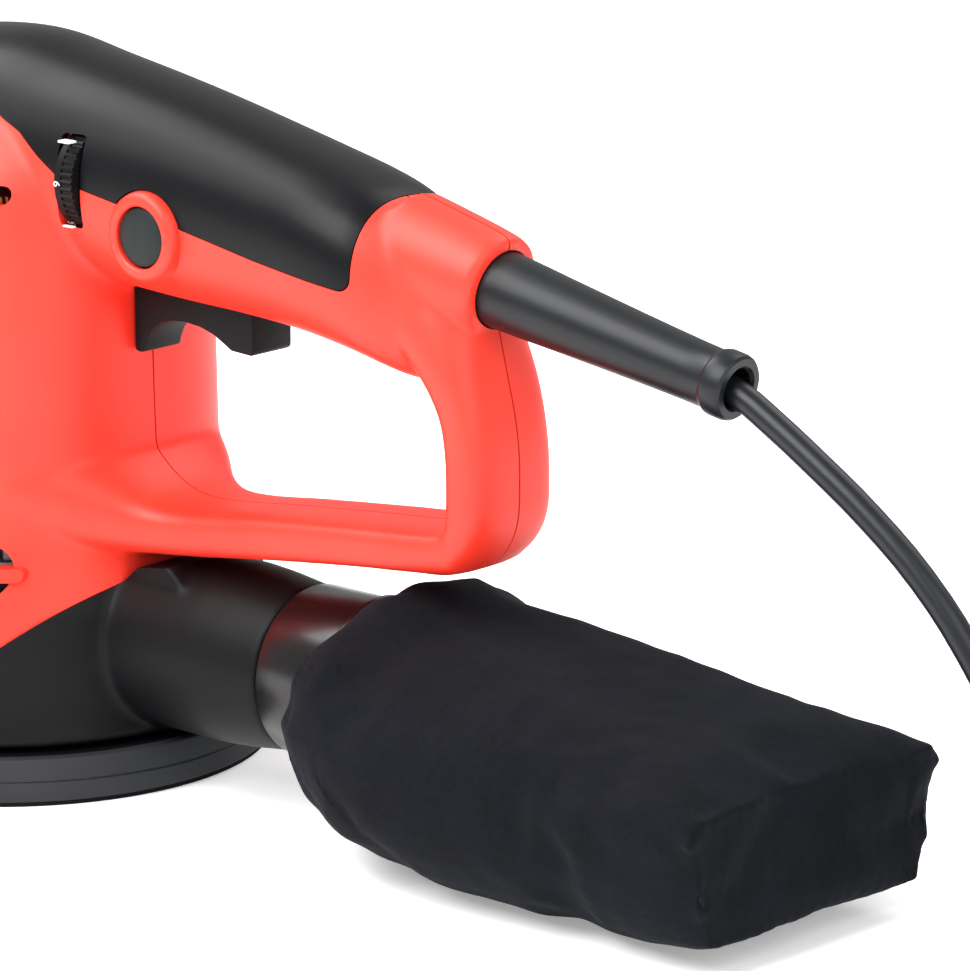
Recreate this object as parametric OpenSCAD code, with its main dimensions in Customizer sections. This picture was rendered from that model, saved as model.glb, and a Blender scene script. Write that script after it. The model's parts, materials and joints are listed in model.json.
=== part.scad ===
// Random-orbit (dual action) polisher and sander with a D handle, dust bag and mains lead.
// Origin: motor axis at the face of the pad. +X points to the handle and bag, +Z up,
// -Y is the side with the speed wheel and the lock button.

/* [Pad] */
// Diameter of the pad
pad_d = 125; // [120:1:126]
// Thickness of the whole pad
pad_t = 12; // [11:0.5:12.5]
// Offset of the pad's axis from the motor's axis
orbit_r = 2; // [1:0.5:2.5]
// Circle of the eight dust holes
dust_pcd = 65; // [64:1:80]

/* [Housing] */
// Height of the crown above the pad face
crown_h = 178; // [176:1:182]
// Half width of the motor column
column_half = 42; // [41:1:44]
// Half width of the grip
grip_half = 21.5; // [21:0.5:23]
// Half width of the lower bar of the handle
bar_half = 14.2; // [13:0.2:15]
// Wall of the red shells
wall = 2.6; // [2.4:0.1:3]
// Thickness of the soft grip
grip_t = 2; // [1.6:0.1:2.4]

/* [Shroud and port] */
// Radius of the lower housing's rim
rim_r = 60; // [59:0.5:61]
// Height of the rim above the floor
rim_z = 13.2; // [13:0.1:15]
// Height of the dust port's axis
port_z = 35.3; // [35:0.1:36]
// Radius of the spigot that the bag slides onto
spigot_r = 18.6; // [18:0.1:18.8]

/* [Bag] */
// Half width of the bag at its end
bag_half = 40; // [36:1:42]
// X of the bag's end
bag_end = 250; // [240:1:254]

/* [Controls] */
// Radius of the lock-on button
button_r = 7; // [6.5:0.1:7]
// Travel of the lock-on button
button_travel = 3; // [1:0.5:3]
// Radius of the speed wheel
dial_r = 13; // [12:0.5:13.5]
// Travel of the trigger
trigger_travel = 4; // [2:0.5:4]

/* [Lead] */
// Diameter of the mains lead
cord_d = 6.2; // [6:0.1:6.4]
// Slope of the cord guard in degrees
guard_tilt = 10.8; // [10:0.1:11.5]

/* [Hidden] */
$fn = 48;
e = 0.05;
seg = 36;
cord_r = cord_d / 2;

// Red shell, column: z, front x, rear x, half width, squareness
COLUMN = [
  [22, -57.5, 57.5, 57, 2], [36, -57.5, 57.5, 57, 2], [46, -56, 57, 55, 2], [53, -52.5, 55, 51, 2.1],
  [60, -49, 53, 46.5, 2.3], [67, -47, 52, column_half + 1.5, 2.5], [78, -46, 50.8, column_half, 2.7],
  [105, -46, 50, column_half, 2.7], [128, -46.5, 50, column_half - 0.5, 2.5],
  [145, -46, 49, column_half - 2.5, 2.3], [156, -43, 46, column_half - 6.5, 2.2],
  [165.5, -38, 42, 30.5, 2.1], [172.5, -29, 36, 25, 2], [crown_h - 1.4, -18, 28, 19, 2], [crown_h, -8, 20, 12, 2]];
// Top grip: x, top z, bottom z, half width, squareness
HANDLE = [
  [0, crown_h, 135, 28, 2.1], [20, crown_h, 124, 27, 2.1], [36, 174.8, 121.5, 26, 2.1],
  [52, 171.6, 120.6, 24.6, 2.2], [70, 168, 119.6, 23, 2.3], [88, 164, 119, grip_half + 0.5, 2.35],
  [105, 160, 118, grip_half, 2.4], [118, 156.8, 116.4, grip_half, 2.4], [128, 153.6, 114.4, grip_half - 0.9, 2.4],
  [134, 150.2, 112.6, grip_half - 3, 2.4], [140, 146.6, 111, 15.4, 2.3], [148, 144.4, 112, 13, 2.2]];
// Rear bar: z, inner x, outer x, half width, squareness
REAR_BAR = [
  [136, 120, 155, 11.6, 2.3], [130, 124, 157.4, 14, 2.5], [122, 134, 159.6, 15, 2.6],
  [114, 144, 161.6, 15, 2.8], [106, 149.6, 163.6, 14.4, 3], [98, 151.6, 164.8, 14.2, 3.2],
  [90, 152.2, 165, bar_half, 3.4], [82, 152, 164.6, bar_half, 3.4], [76, 150.4, 162.4, bar_half - 0.4, 3.2],
  [71, 147, 158, bar_half - 1.6, 3], [68, 141, 152, bar_half - 4.4, 2.6]];
// Lower bar: x, top z, bottom z, half width, squareness
LOWER_BAR = [
  [36, 90, 56, 36, 2.4], [48, 83, 56.5, 28, 2.5], [56, 76.2, 57.4, 21.5, 2.8],
  [64, 72.4, 58.2, 17.4, 3.2], [75, 71.8, 59.4, 15.2, 3.6], [97, 74.2, 62.4, bar_half, 4],
  [125, 77, 65.8, bar_half, 4], [145, 78.8, 67.8, bar_half, 4], [156, 80.2, 69.4, bar_half, 4]];
// Dust bag: x, middle z, half height, half width, squareness
BAG = [
  [113, 32.5, 19.5, 24, 2.1], [119, 33, 25, 33, 2.2], [127, 33, 28, 39, 2.3], [135, 32, 27.6, 42.5, 2.5],
  [145, 29, 26, 44.2, 2.8], [157, 28, 25, 45, 3.2], [175, 26.8, 23.6, 45.2, 3.4], [195, 25, 21.8, 44.8, 3.8],
  [220, 23.4, 19.8, bag_half + 3.6, 4.5], [240, 23.2, 17.8, bag_half + 2, 6], [bag_end, 23.7, 15.3, bag_half, 8]];

// Where the red shells end and the black lower housing begins, seen from the side
SPLIT_LINE = [[-80, 24], [18, 24], [28, 27.5], [58.5, 55.5], [92, 60.6]];
// Outline that the soft grip fills, seen from the side
GRIP_LINE = [[-70, 172], [8, 171], [24, 167.5], [36.3, 162.7], [42, 152.6], [46, 149], [52, 146.6], [76.5, 141.6],
  [103.5, 136.2], [128.4, 132.8], [131.4, 135], [131.6, 200], [-70, 200]];

guard_at = [160, 0, 134];
function guard_axis_z(x) = guard_at[2] - (x - guard_at[0]) * tan(guard_tilt);

// Free lead: from inside the guard's tip, down to the floor and into the coil
coil_c = [342, 40.2];
coil_r = 34;
coil_t = 3 * cord_d + 0.2;
ROUTE = [[214, 0, 123.5], [220, 0, 122.2], [227, 0, 120], [236, 0, 115.2], [247, 0, 108.6], [262, 0, 98.8],
  [276, 0, 87.6], [288, 0, 74.5], [298, 0, 60], [306, 0, 45], [313, 0, 30], [319, 0, 18], [326, 0, 8.4],
  [334, 0, 4], [342, 0, 3.2]];

trigger_x = [50.5, 89.3];
trigger_half = 6.6;
lock_at = [70.7, 137.8];
dial_at = [48, -14, 147.8];
dial_w = 6;
bore_z = 52;                       // bottom of the lower bearing
HOUSING_SCREWS = [[-39.5, 66], [44, 66], [-34, 128], [35, 128], [112, 126], [157.5, 84]];
SHROUD_SCREWS = [for (a = [45:90:315]) [33 * cos(a), 33 * sin(a)]];

function power(v, p) = sign(v) * pow(abs(v), p);
function oval(a, b, n) = [for (i = [0:seg - 1]) let (t = 360 * i / seg)
  [a * power(cos(t), 2 / n), b * power(sin(t), 2 / n)]];

// Rings of a body that runs up Z, and of one that runs along X, g smaller all round
function level_ring(r, g) = [for (p = oval((r[2] - r[1]) / 2 - g, r[3] - g, r[4]))
  [(r[1] + r[2]) / 2 + p[0], p[1], r[0]]];
function upright_ring(r, g) = [for (p = oval(r[3] - g, (r[1] - r[2]) / 2 - g, r[4]))
  [r[0], p[0], (r[1] + r[2]) / 2 + p[1]]];
// Body through a list of rings
module chain(rings) {
  for (i = [0:len(rings) - 2]) hull() polyhedron(concat(rings[i], rings[i + 1]), concat(
    [[for (k = [0:seg - 1]) k], [for (k = [seg - 1:-1:0]) seg + k]],
    [for (k = [0:seg - 1]) let (m = (k + 1) % seg) [k, seg + k, seg + m, m]]));
}
// The whole outer shape of the red shells, g smaller all round
module form(g = 0) {
  chain([for (r = COLUMN) level_ring(r[0] > 150 ? [r[0] - g, r[1], r[2], r[3], r[4]] : r, g)]);
  chain([for (r = HANDLE) upright_ring(r, g)]);
  chain([for (r = REAR_BAR) level_ring(r[0] < 76 ? [r[0] + g, r[1], r[2], r[3], r[4]] : r, g)]);
  chain([for (r = LOWER_BAR) upright_ring(r, g)]);
  translate(guard_at) rotate([0, 90 + guard_tilt, 0]) translate([0, 0, -26])
    cylinder(r1 = 14 - g, r2 = 11.9 - g, h = 26 - g, $fn = 40);
}
// Prism across Y from a side outline
module side_prism(pts, half = 90) {
  translate([0, half, 0]) rotate([90, 0, 0]) linear_extrude(2 * half) polygon(pts);
}
module below_split(gap = 0) {
  side_prism(concat([[92, 0], [-80, 0]], [for (p = SPLIT_LINE) [p[0], p[1] - gap]]));
}
module grip_region() side_prism(GRIP_LINE);
module badge_region(grow = 0) {
  translate([0, 90, 100.5]) rotate([90, 0, 0]) linear_extrude(180) offset(4)
    square([58 + 2 * grow, 33 + 2 * grow], center = true);
}
// Side vents of one shell, cut right across
module vents() {
  translate([0, 90, 54.8]) rotate([90, 0, 0]) linear_extrude(180) difference() {
    hull() for (s = [-1, 1]) translate([s * 27, 0]) circle(6.2, $fn = 24);
    translate([0, 0.4]) square([90, 3.6], center = true);
  }
  for (k = [0:1]) translate([0, 90, 144 - 8 * k]) rotate([90, 0, 0]) linear_extrude(180)
    hull() for (s = [-1, 1]) translate([s * (29 - 2 * k), 0]) circle(2, $fn = 16);
}
// Ribs that hold the stator and the top bearing
module ribs() {
  difference() {
    intersection() {
      union() {
        for (z = [98, 123]) translate([0, 0, z]) cylinder(r = 60, h = 3);
        translate([0, 0, 158.6]) cylinder(r = 60, h = 5.6);
      }
      form(wall - 0.4);
    }
    translate([0, 0, 90]) cylinder(r = 27.2, h = 60);
    translate([0, 0, 150]) cylinder(r = 11.15, h = 30);
  }
}
module screw_bosses() {
  intersection() {
    for (p = HOUSING_SCREWS) translate([p[0], 60, p[1]]) rotate([90, 0, 0]) cylinder(r = 3.8, h = 120, $fn = 20);
    form(wall - 0.4);
  }
}
module shell_solid() {
  difference() {
    union() {
      difference() {
        form();
        difference() {
          form(wall);
          grip_region();
        }
        form(wall + grip_t);
      }
      ribs();
      screw_bosses();
    }
    difference() {
      grip_region();
      form(grip_t + e);
    }
    difference() {
      badge_region(0.1);
      form(1.5);
    }
    below_split();
    vents();
    translate([0, 0, 22]) cylinder(r1 = 56, r2 = 47, h = 32);
    translate([trigger_x[0] - 0.3, -trigger_half - 0.5, 112])
      cube([trigger_x[1] - trigger_x[0] + 0.7, 2 * trigger_half + 1, 14]);
    translate(guard_at) rotate([0, 90 + guard_tilt, 0]) translate([0, 0, -22]) cylinder(r = 9.2, h = 40, $fn = 40);
    for (p = HOUSING_SCREWS) translate([p[0], 60, p[1]]) rotate([90, 0, 0]) cylinder(r = 1.7, h = 67.4, $fn = 16);
  }
}
// Slot and pocket for the speed wheel
module dial_pocket() {
  translate([dial_at[0] - dial_w / 2 - 0.6, -50, 137.4]) cube([dial_w + 1.2, 34, 21.6]);
  translate([dial_at[0] - dial_w / 2 - 0.6, dial_at[1], dial_at[2]]) rotate([0, 90, 0])
    cylinder(r = dial_r + 0.7, h = dial_w + 1.2, $fn = 40);
}
module housing_left() color("#e93a2c") render() intersection() {
  difference() {
    union() {
      shell_solid();
      translate([lock_at[0], -18, lock_at[1]]) rotate([90, 0, 0]) cylinder(r1 = 11.2, r2 = 10, h = 6, $fn = 32);
    }
    translate([lock_at[0], -10, lock_at[1]]) rotate([90, 0, 0]) cylinder(r = button_r + 0.4, h = 30, $fn = 32);
    dial_pocket();
  }
  translate([-100, -100, 0]) cube([300, 100, 200]);
}
module housing_right() color("#e93a2c") render() intersection() {
  difference() {
    shell_solid();
    for (p = HOUSING_SCREWS)
      translate([p[0], 60, p[1]]) rotate([90, 0, 0]) cylinder(r = 3.4, h = 60 - screw_head_y(p), $fn = 20);
  }
  translate([-100, 0, 0]) cube([300, 100, 200]);
}
// Depth at which a housing screw's head sits
function screw_head_y(p) = p[0] > 150 ? 9 : p[0] > 100 ? 14 : p[1] < 100 ? 20 : 27;
module housing_screws() color("#9a9ca0") for (p = HOUSING_SCREWS)
  translate([p[0], screw_head_y(p), p[1]]) rotate([90, 0, 0]) {
    translate([0, 0, -2.4]) cylinder(r = 3.2, h = 2.4);
    cylinder(r = 1.5, h = screw_head_y(p) + 7);
  }
module top_grip() color("#1e1f22") render() difference() {
  intersection() {
    form();
    side_prism([for (p = GRIP_LINE) [p[0], p[1] + 0.1]]);
  }
  form(grip_t);
  dial_pocket();
  translate([lock_at[0], -5, lock_at[1]]) rotate([90, 0, 0]) cylinder(r = 11.5, h = 30, $fn = 32);
}
module badge(side) color("#1a1b1e") render() difference() {
  intersection() {
    form();
    badge_region();
    translate([-100, side > 0 ? 0 : -100, 0]) cube([200, 100, 200]);
  }
  form(1.4);
}
module badge_left() badge(-1);
module badge_right() badge(1);

// ---- lower housing, with the fan chamber and the dust port
module along_port(x) translate([x, 0, port_z]) rotate([0, 90, 0]) children();
module lower_housing() color("#1f2023") difference() {
  union() {
    intersection() {
      rotate_extrude() polygon([[0, rim_z], [rim_r, rim_z], [rim_r, rim_z + 2.5], [rim_r - 1.6, rim_z + 5],
        [57.9, 40], [56.8, 48], [54, 54], [50, 56], [0, 56]]);
      below_split(0.25);
    }
    rotate_extrude() polygon([[0, rim_z], [54.3, rim_z], [54.3, 34], [50.2, 43], [45.5, 50], [0, 50]]);
    intersection() {
      union() {
        along_port(30) cylinder(r = 22, h = 56);
        side_prism([[40, 36], [74, 36], [74.6, 52], [71, 57], [60, 56], [46, 44]], 15);
      }
      below_split(0.25);
    }
    along_port(86) cylinder(r1 = 22, r2 = 19.6, h = 15);
    along_port(101 - e) cylinder(r = spigot_r, h = 27);
  }
  rotate_extrude() polygon([[0, 0], [51.3, 0], [51.3, 33.4], [47.4, 42], [44.8, 46], [0, 46]]);
  translate([0, 0, 40]) cylinder(r = 14, h = 20);
  translate([0, 0, -3]) along_port(36) cylinder(r = 12, h = 25);
  along_port(60) cylinder(r = 16, h = 76);
  for (p = SHROUD_SCREWS) translate([p[0], p[1], 40]) cylinder(r = 2.1, h = 20);
}
module brake_ring() color("#26272a") rotate_extrude()
  polygon([[47, pad_t + 0.3], [48.6, pad_t + 0.3], [51.3, 17], [51.3, 21], [48.8, 21], [48.8, 17.5]]);
module shroud_screws() color("#8d9094") for (p = SHROUD_SCREWS) translate([p[0], p[1], 43.4]) {
  cylinder(r = 3.6, h = 2.6);
  cylinder(r = 2, h = 12);
}
module bearing_plate() color("#a9abad") difference() {
  union() {
    translate([0, 0, 50]) cylinder(r = 38, h = 3.4);
    translate([0, 0, 50]) cylinder(r = 17, h = 11);
    for (a = [0:45:315]) rotate(a) translate([15, -1.2, 53]) cube([21, 2.4, 5]);
  }
  translate([0, 0, 49]) cylinder(r = 8, h = 20);
  translate([0, 0, bore_z]) cylinder(r = 13, h = 20);
  for (p = SHROUD_SCREWS) translate([p[0], p[1], 49]) cylinder(r = 2, h = 10);
}

// ---- bearings
module ball_bearing(bore_r, outer_r, h) difference() {
  cylinder(r = outer_r, h = h);
  translate([0, 0, -1]) cylinder(r = bore_r, h = h + 2);
  for (z = [-1, h - 0.6]) translate([0, 0, z]) difference() {
    cylinder(r = outer_r * 0.62 + bore_r * 0.38 + 1, h = 1.6);
    translate([0, 0, -1]) cylinder(r = bore_r * 0.62 + outer_r * 0.38 - 1, h = 4);
  }
}
module lower_bearing() color("#b9bcc0") translate([0, 0, bore_z]) ball_bearing(5.05, 13, 8);
module upper_bearing() color("#b9bcc0") translate([0, 0, 158]) ball_bearing(4.05, 11, 7);
module pad_bearing() color("#b9bcc0") translate([orbit_r, 0, 18]) ball_bearing(6, 16, 10);

// ---- motor
module stator_core() color("#6f7276") translate([0, 0, 92]) difference() {
  cylinder(r = 27, h = 40);
  translate([0, 0, -1]) cylinder(r = 18.3, h = 42);
  for (s = [-1, 1]) translate([s * 25 - 4, -6, -1]) cube([8, 12, 42]);
}
module stator_coils() color("#b4622d") for (z = [84, 132.2]) translate([0, 0, z]) difference() {
  cylinder(r = 25.5, h = 7.8);
  translate([0, 0, -1]) cylinder(r = 18.8, h = 10);
  translate([-40, -5, -1]) cube([80, 10, 10]);
}
module brush_holders() color("#c9a24a") for (s = [-1, 1]) translate([0, s * 23, 147]) difference() {
  cube([9, 18, 11], center = true);
  cube([6.4, 19, 8.4], center = true);
}
module carbon_brushes() color("#2b2b2d") for (s = [-1, 1]) translate([0, s * 15.8, 147])
  cube([6.2, 9, 8.2], center = true);
module brush_springs() color("#b0b3b7") for (s = [-1, 1])
  translate([0, s * 20.8, 147]) rotate([-90 * s, 0, 0]) coil_spring(2.4, 0.35, 10, 4);
module armature_shaft() color("#b5b8bc") {
  translate([0, 0, 32]) cylinder(r = 5, h = 30);
  translate([0, 0, 62]) cylinder(r = 4, h = 104);
}
module armature_core() color("#5f6266") translate([0, 0, 92]) difference() {
  cylinder(r = 17.5, h = 40);
  translate([0, 0, -1]) cylinder(r = 4.02, h = 42);
  for (a = [0:30:330]) rotate(a) translate([13, -0.9, -1]) cube([5, 1.8, 42]);
}
module armature_windings() color("#b4622d") for (z = [84, 132]) translate([0, 0, z]) difference() {
  cylinder(r = 16, h = 8);
  translate([0, 0, -1]) cylinder(r = 4, h = 10);
}
module commutator() color("#c8793f") translate([0, 0, 141]) difference() {
  cylinder(r = 11, h = 12);
  translate([0, 0, -1]) cylinder(r = 4, h = 14);
  for (a = [0:15:345]) rotate(a) translate([10, -0.3, -1]) cube([2, 0.6, 11]);
}
module fan(r, hub, h, blades, bore) difference() {
  union() {
    cylinder(r = r, h = 1.6);
    cylinder(r = hub, h = h);
    for (i = [0:blades - 1]) rotate(360 * i / blades) translate([hub - 1, -0.7, 0]) rotate([0, 0, 12])
      cube([r - hub - 1, 1.5, h - 1]);
  }
  translate([0, 0, -1]) cylinder(r = bore, h = h + 2);
}
module cooling_fan() color("#3b3d40") translate([0, 0, 66]) fan(30, 8, 12, 12, 4);
module dust_fan() color("#303235") translate([0, 0, 41.5]) rotate([180, 0, 0]) fan(43, 22, 7, 14, 20.4);
module counterweight() color("#7b7e82") difference() {
  union() {
    translate([orbit_r, 0, 16.8]) cylinder(r = 19.5, h = 13.2);
    translate([0, 0, 30]) cylinder(r = 20.4, h = 11.5);
    intersection() {
      translate([0, 0, 24]) cylinder(r = 33, h = 8);
      translate([-40, -24, 20]) cube([34, 48, 20]);
    }
  }
  translate([orbit_r, 0, 10]) cylinder(r = 16.05, h = 20);
  translate([0, 0, 20]) cylinder(r = 5, h = 30);
}

// ---- pad
function ring_points(r, n, from = 0) = [for (i = [0:n - 1]) [r * cos(from + 360 * i / n), r * sin(from + 360 * i / n)]];
module pad_cuts(head_r) translate([orbit_r, 0, -1]) {
  for (p = ring_points(dust_pcd / 2, 8)) translate([p[0], p[1], 0]) cylinder(r = 5, h = 30);
  for (p = ring_points(11, 4, 45)) translate([p[0], p[1], 0]) cylinder(r = head_r, h = 30);
}
module pad_hub() color("#a9abad") translate([orbit_r, 0, 0]) difference() {
  union() {
    translate([0, 0, pad_t]) cylinder(r = 15, h = 3.6);
    translate([0, 0, pad_t]) cylinder(r = 8.5, h = 6);
    translate([0, 0, pad_t]) cylinder(r = 6, h = 17.4);
  }
  for (p = ring_points(11, 4, 45)) translate([p[0], p[1], 0]) cylinder(r = 2, h = 30);
}
module pad_plate() color("#2a2b2e") difference() {
  translate([orbit_r, 0, 8]) cylinder(r = 59.8, h = pad_t - 8);
  pad_cuts(2.1);
}
module pad_foam() color("#3c3d41") difference() {
  translate([orbit_r, 0, 0]) rotate_extrude() polygon([[0, 1], [pad_d / 2 - 0.8, 1], [pad_d / 2, 2],
    [pad_d / 2, pad_t - 0.8], [pad_d / 2 - 0.8, pad_t], [60, pad_t], [60, 8], [0, 8]]);
  pad_cuts(4.5);
}
module hook_face() color("#17181a") difference() {
  translate([orbit_r, 0, 0]) cylinder(r = pad_d / 2 - 1, h = 1);
  pad_cuts(4.5);
}
module pad_screws() color("#8d9094") translate([orbit_r, 0, 0]) for (p = ring_points(11, 4, 45))
  translate([p[0], p[1], 5.6]) {
    cylinder(r = 3.6, h = 2.4);
    cylinder(r = 1.95, h = 10);
  }

// ---- trigger, lock button and speed wheel
module trigger() color("#18191b") difference() {
  union() {
    side_prism([[trigger_x[0], 122.4], [trigger_x[0], 105.4], [53, 105.4], [54.2, 109.2], [56.8, 112.2], [60.6, 114],
      [66, 114.6], [74, 113.8], [81, 110], [88.6, 109.4], [trigger_x[1], 110.2], [trigger_x[1], 122.4]], trigger_half);
    translate([56, -6, 118]) cube([6, 12, 8.4]);
  }
  translate([74, 0, 117.6]) cylinder(r = 3.6, h = 10);
}
module trigger_spring() color("#b0b3b7") translate([74, 0, 121.9]) coil_spring(2.7, 0.4, 8.2, 4);
module lock_button() color("#2d3333") translate([lock_at[0], 0, lock_at[1]]) rotate([90, 0, 0]) difference() {
  union() {
    translate([0, 0, 12.2]) cylinder(r = button_r, h = 11.4);
    translate([0, 0, 12.2]) cylinder(r = 8.4, h = 1.6);
  }
  translate([0, 0, 10]) cylinder(r = 4.6, h = 12);
}
module button_sleeve() color("#303235") translate([lock_at[0], 0, lock_at[1]]) rotate([90, 0, 0]) difference() {
  translate([0, 0, 14.2]) cylinder(r = 8.4, h = 2);
  translate([0, 0, 14]) cylinder(r = button_r + 0.06, h = 6);
}
module lock_spring() color("#b0b3b7") translate([lock_at[0], -9.4, lock_at[1]]) rotate([90, 0, 0])
  coil_spring(3.4, 0.35, 9, 4);
module speed_dial() color("#202124") translate(dial_at) rotate([0, 90, 0]) difference() {
  union() {
    translate([0, 0, -dial_w / 2]) cylinder(r = dial_r, h = dial_w, $fn = 72);
    translate([0, 0, -8]) cylinder(r = 2, h = 8);
  }
  for (i = [0:35]) rotate(10 * i + 5) translate([dial_r, -0.5, -dial_w]) cube([1.2, 1, 2 * dial_w], center = false);
  for (s = [-1, 1]) translate([0, 0, s * (dial_w / 2 - 0.4) - 0.5]) difference() {
    cylinder(r = dial_r - 3, h = 1);
    translate([0, 0, -1]) cylinder(r = 5, h = 3);
  }
}
module speed_board() color("#2e6b3f") difference() {
  translate([dial_at[0] - 7.6, -19, 141]) cube([1.6, 16, 15]);
  translate(dial_at) rotate([0, 90, 0]) cylinder(r = 2.05, h = 30, center = true);
}
module switch_module() color("#202124") difference() {
  translate([54, -9, 127]) cube([34, 18, 24]);
  translate([55.6, -6.4, 126]) cube([6.8, 12.8, 5.2]);
  translate([74, 0, 126]) cylinder(r = 3.2, h = 4.4);
}
module capacitor() color("#d9c24a") translate([91, -7, 129]) cube([14, 14, 12]);

// ---- cord entry
module along_guard(x) translate([x, 0, guard_axis_z(x)]) rotate([0, 90 + guard_tilt, 0]) children();
module cord_tail() color("#202225") along_guard(118) cylinder(r = cord_r, h = (214 - 118) / cos(guard_tilt));
module cord_guard() color("#3a3d42") along_guard(143) difference() {
  rotate_extrude() polygon([[0, 0], [8.9, 0], [8.9, 3], [7.6, 3.2], [7.6, 6.4], [8.8, 6.6], [8.8, 18],
    [8.1, 32], [7.5, 48], [6.8, 72], [6.8, 79.4], [7.3, 80.2], [7.3, 84.4], [6.8, 85.2], [0, 85.2]]);
  translate([0, 0, -1]) cylinder(r = 4.5, h = 90);
}
module cord_clamp() color("#303235") along_guard(119) difference() {
  for (s = [-1, 1]) translate([s > 0 ? cord_r + 0.05 : -cord_r - 2.25, -9, 0]) cube([2.2, 18, 8]);
  for (s = [-1, 1]) translate([-10, s * 5.8, 4]) rotate([0, 90, 0]) cylinder(r = 1.6, h = 20);
}
module clamp_screws() color("#8d9094") along_guard(119)
  for (s = [-1, 1]) translate([cord_r + 4.2, s * 5.8, 4]) rotate([0, -90, 0]) {
    cylinder(r = 2.6, h = 1.9);
    cylinder(r = 1.5, h = 11.6);
  }

// ---- springs and the free lead: rings of points joined in order
function unit(v) = v / norm(v);
module swept(path, r, sides) {
  n = len(path);
  pts = [for (i = [0:n - 1]) let (
      t = unit(path[min(i + 1, n - 1)] - path[max(i - 1, 0)]),
      ref = abs(t[1]) < 0.9 ? [0, 1, 0] : [0, 0, 1],
      u = unit(cross(ref, t)), v = cross(t, u))
    for (k = [0:sides - 1]) path[i] + r * (cos(360 * k / sides) * u + sin(360 * k / sides) * v)];
  polyhedron(pts, concat(
    [[for (k = [0:sides - 1]) k], [for (k = [sides - 1:-1:0]) (n - 1) * sides + k]],
    [for (i = [0:n - 2]) for (k = [0:sides - 1]) let (a = i * sides, b = a + sides, m = (k + 1) % sides)
      [a + k, b + k, b + m, a + m]]));
}
module coil_spring(r, wire, h, turns)
  swept([for (i = [0:10 * turns]) [r * cos(36 * i), r * sin(36 * i), wire + (h - 2 * wire) * i / (10 * turns)]],
    wire, 6);
function blend3(a, b, c, d, t) = 0.5 * (2 * b + (c - a) * t + (2 * a - 5 * b + 4 * c - d) * t * t
  + (3 * b - a - 3 * c + d) * t * t * t);
function smooth_path(p, steps) = let (n = len(p)) concat(
  [for (i = [0:n - 2]) for (k = [0:steps - 1])
    blend3(p[max(i - 1, 0)], p[i], p[i + 1], p[min(i + 2, n - 1)], k / steps)], [p[n - 1]]);
module cord_lead() color("#202225") swept(smooth_path(ROUTE, 2), cord_r, 10);
module cord_coil() color("#202225") translate([coil_c[0], coil_c[1], 0]) rotate_extrude()
  translate([coil_r - coil_t / 2, 0]) square([coil_t, coil_t]);
module plug_frame() translate([coil_c[0] - 20, coil_c[1] + 27, coil_t]) children();
module plug_body() color("#202225") plug_frame() union() {
  translate([-14, -12, 0]) cube([30, 24, 13]);
  translate([16, 0, 6.5]) rotate([0, 90, 0]) cylinder(r1 = 5.6, r2 = 4.2, h = 18);
}
module plug_pins() color("#c9c3a8") plug_frame()
  for (s = [-1, 1]) translate([-14 - 19, s * 9.5, 6.5]) rotate([0, 90, 0]) cylinder(r = 2, h = 19);

// ---- dust bag
module bag_adapter() color("#1c1d20") along_port(101.2) difference() {
  union() {
    cylinder(r = 20.4, h = 31);
    translate([0, 0, 21]) cylinder(r = 21.4, h = 2);
  }
  translate([0, 0, -1]) cylinder(r = spigot_r + e, h = 28.2);
  translate([0, 0, -1]) cylinder(r = 16, h = 40);
}
module dust_bag() color("#24252b") render() difference() {
  chain([for (r = BAG) upright_ring([r[0], r[1] + r[2], r[1] - r[2], r[3], r[4]], 0)]);
  along_port(100) cylinder(r = 21.8, h = 40, $fn = 40);
}

housing_left();
housing_right();
top_grip();
badge_left();
badge_right();
housing_screws();
lower_housing();
brake_ring();
shroud_screws();
bearing_plate();
lower_bearing();
upper_bearing();
stator_core();
stator_coils();
brush_holders();
carbon_brushes();
brush_springs();
switch_module();
capacitor();
speed_board();
button_sleeve();
trigger_spring();
lock_spring();
cord_clamp();
clamp_screws();
cord_tail();
cord_guard();
cord_lead();
cord_coil();
plug_body();
plug_pins();
armature_shaft();
armature_core();
armature_windings();
commutator();
cooling_fan();
dust_fan();
counterweight();
pad_bearing();
pad_hub();
pad_plate();
pad_foam();
hook_face();
pad_screws();
trigger();
lock_button();
speed_dial();
bag_adapter();
dust_bag();
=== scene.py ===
# Random-orbit polisher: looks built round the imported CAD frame
import json
import math

import bmesh
import bpy
from mathutils import Matrix, Vector, noise


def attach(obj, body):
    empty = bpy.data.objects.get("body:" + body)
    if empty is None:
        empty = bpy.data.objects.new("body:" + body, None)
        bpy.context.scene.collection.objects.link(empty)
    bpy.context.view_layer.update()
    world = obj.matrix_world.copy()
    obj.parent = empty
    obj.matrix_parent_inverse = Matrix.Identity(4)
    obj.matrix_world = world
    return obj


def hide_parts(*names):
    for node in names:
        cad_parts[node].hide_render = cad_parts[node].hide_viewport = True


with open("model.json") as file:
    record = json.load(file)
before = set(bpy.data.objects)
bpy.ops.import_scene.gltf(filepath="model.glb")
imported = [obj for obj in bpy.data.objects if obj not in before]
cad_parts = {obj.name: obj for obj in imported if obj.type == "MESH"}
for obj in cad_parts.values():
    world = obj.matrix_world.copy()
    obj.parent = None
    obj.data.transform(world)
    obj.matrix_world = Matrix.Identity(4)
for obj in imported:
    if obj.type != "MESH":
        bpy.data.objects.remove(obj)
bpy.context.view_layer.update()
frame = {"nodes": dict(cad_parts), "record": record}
mm = 0.001
scene = bpy.context.scene
nodes = frame["nodes"]


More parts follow.
